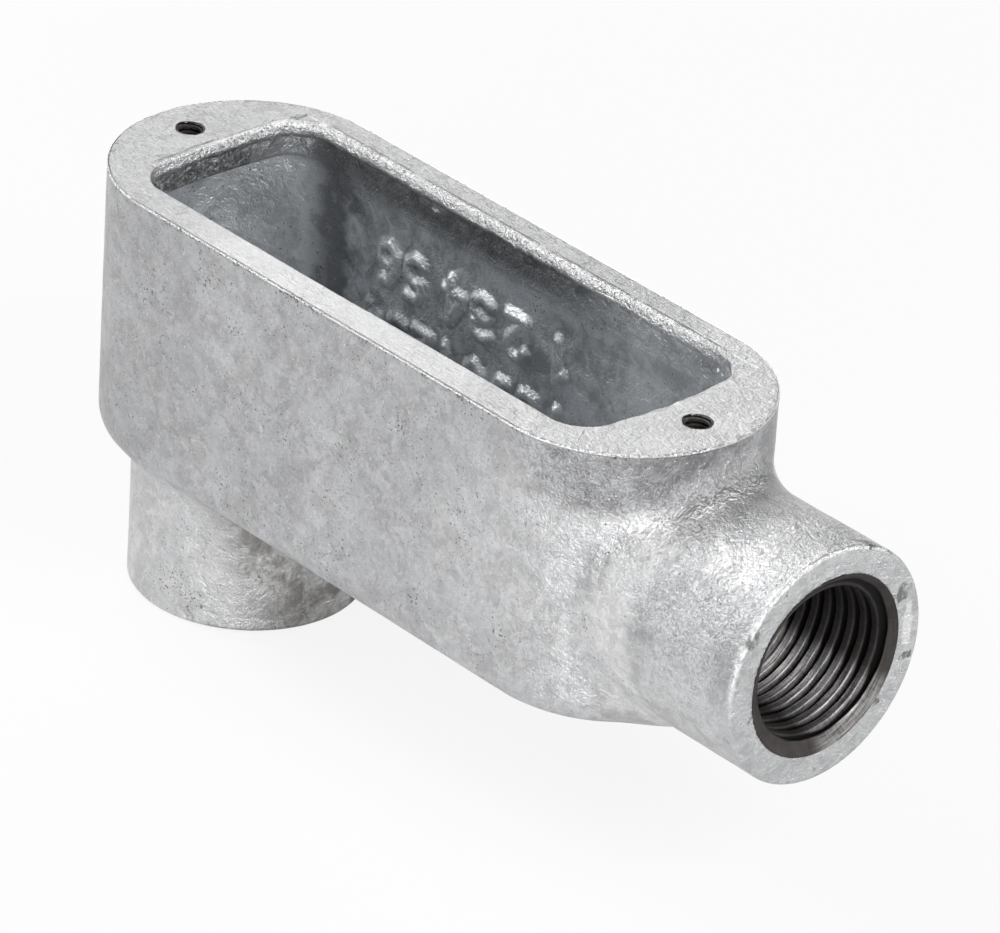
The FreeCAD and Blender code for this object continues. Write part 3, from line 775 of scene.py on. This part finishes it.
def grown(name, tree, sockets, sizes, place):
    # runs the tree once, keeps its result as a plain mesh and moves that to its place
    carrier = show(name, bpy.data.meshes.new(name))
    maker = carrier.modifiers.new(name, "NODES")
    maker.node_group = tree
    for key, value in sizes.items():
        maker[sockets[key]] = value
    made = bpy.data.meshes.new_from_object(
        carrier.evaluated_get(bpy.context.evaluated_depsgraph_get()))
    carrier.modifiers.clear()
    made.transform(Matrix.Scale(MM, 4) @ Matrix.Translation((0, 0, -MOUTH)) @ place)
    made.name = name
    carrier.data = made
    return carrier


zinc = casting_finish()
steel = bore_finish("oily tapped steel", grey(0.024, 0.021, 0.02), grey(0.066, 0.058, 0.055))
# painted light: the screw holes take a lighter copy of the tapped steel
lit_tapped_steel = bore_finish("tapped steel painted lighter", grey(0.07, 0.063, 0.058), grey(0.3, 0.285, 0.27))
casting = make_casting()
casting.data.materials.append(zinc)

tapping, slots = thread_tree()
facing_right = Matrix.Translation((HUB_REACH - 0.05, 0, HUB_AXIS)) @ Matrix(
    ((0, 0, 1, 0), (1, 0, 0, 0), (0, 1, 0, 0), (0, 0, 0, 1)))
facing_down = Matrix(((-1, 0, 0, 0), (0, 1, 0, 0), (0, 0, -1, 0.05), (0, 0, 0, 1)))
pieces = [casting]
pieces.append(grown("end_hub_thread", tapping, slots, {"Finish": steel}, facing_right))
pieces.append(grown("back_hub_thread", tapping, slots, {"Finish": steel}, facing_down))
for side, name in ((-1, "left_screw_thread"), (1, "right_screw_thread")):
    sizes = {"Crest radius": 1.4, "Tooth height": 0.4, "Pitch": 0.794, "Taper": 0.0,
             "Length": LAND - 0.1, "Mouth radius": 1.64, "Mouth slope": 1.2, "Throat radius": 1.3,
             "Throat bevel": 0.2, "Lip": 0.14, "Tail": 0.0, "Lift": 0.02, "Rows": 72, "Round": 48,
             "Finish": lit_tapped_steel}
    # a hair below the rim, so that its lip stays inside the CAD box
    place = Matrix.Translation((MIDDLE + side * SCREW_OUT, 0, RIM - 0.022))
    pieces.append(grown(name, tapping, slots, sizes, place))
for piece in pieces:
    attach(piece, "root")
    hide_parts("conduit_body")

# the floor lies just under the back hub's mouth
FLOOR_HALF, FLOOR_TOP = 3.0, -(MOUTH + 0.02) * MM
floor = show("floor", mesh_from("floor", np.array(
    [(a * FLOOR_HALF, b * FLOOR_HALF, FLOOR_TOP) for a, b in ((-1, -1), (1, -1), (1, 1), (-1, 1))]),
    np.array([[0, 1, 2, 3]])))
floor.data.materials.append(floor_finish())

scene = bpy.context.scene
scene.view_settings.view_transform = "Standard"


def lamp(name, place, aim, width, height, power):
    # a rectangle of light at a place, turned towards what it is aimed at
    light = bpy.data.lights.new(name, "AREA")
    light.shape = "RECTANGLE"
    light.size, light.size_y = width, height
    light.energy = power
    holder = bpy.data.objects.new(name, light)
    scene.collection.objects.link(holder)
    holder.location = place
    away = Vector(place) - Vector(aim)
    holder.rotation_euler = away.to_track_quat("Z", "Y").to_euler()


aim = (0.035, 0, 0.025)
lamp("near_left", (-0.57, -0.42, 0.55), aim, 0.55, 0.55, 3.4)
lamp("top_left", (-0.57, -0.08, 0.74), aim, 0.5, 0.5, 2.0)
lamp("near_right", (0.42, -0.42, 0.12), aim, 0.42, 0.42, 2.2)
lamp("right", (0.75, -0.05, 0.6), aim, 0.4, 0.4, 3.5)
lamp("far_left", (-0.6, 0.55, 0.5), aim, 0.4, 0.4, 1.4)
lamp("low_left", (-0.75, -0.25, 0.2), aim, 0.4, 0.4, 0.6)
lamp("far_right", (0.55, 0.65, 0.2), (0.09, 0, 0.02), 0.35, 0.3, 2.0)

world = bpy.data.worlds.new("studio")
scene.world = world
world.use_nodes = True
sky = Board(world.node_tree)
glow = sky.node("ShaderNodeBackground", None, {"Color": WHITE, "Strength": 0.15})
out = world.node_tree.nodes.new("ShaderNodeOutputWorld")
world.node_tree.links.new(glow.socket, out.inputs["Surface"])

# the photograph's view: a long lens, tipped a little to one side
azimuth, elevation, roll = (math.radians(a) for a in (46.315, 29.214, 3.888))
back = Vector((math.sin(azimuth) * math.cos(elevation), -math.cos(azimuth) * math.cos(elevation),
               math.sin(elevation)))
level = Vector((math.cos(azimuth), math.sin(azimuth), 0))
upright = back.cross(level)
right = math.cos(roll) * level + math.sin(roll) * upright
up = -math.sin(roll) * level + math.cos(roll) * upright
lens = bpy.data.cameras.new("camera")
lens.lens = 253.916
lens.sensor_width = 36.0
lens.clip_start, lens.clip_end = 0.01, 20
camera = bpy.data.objects.new("camera", lens)
scene.collection.objects.link(camera)
camera.matrix_world = Matrix.Translation((0.549205, -0.483872, 0.424266)) @ Matrix(
    (right, up, back)).transposed().to_4x4()
scene.camera = camera
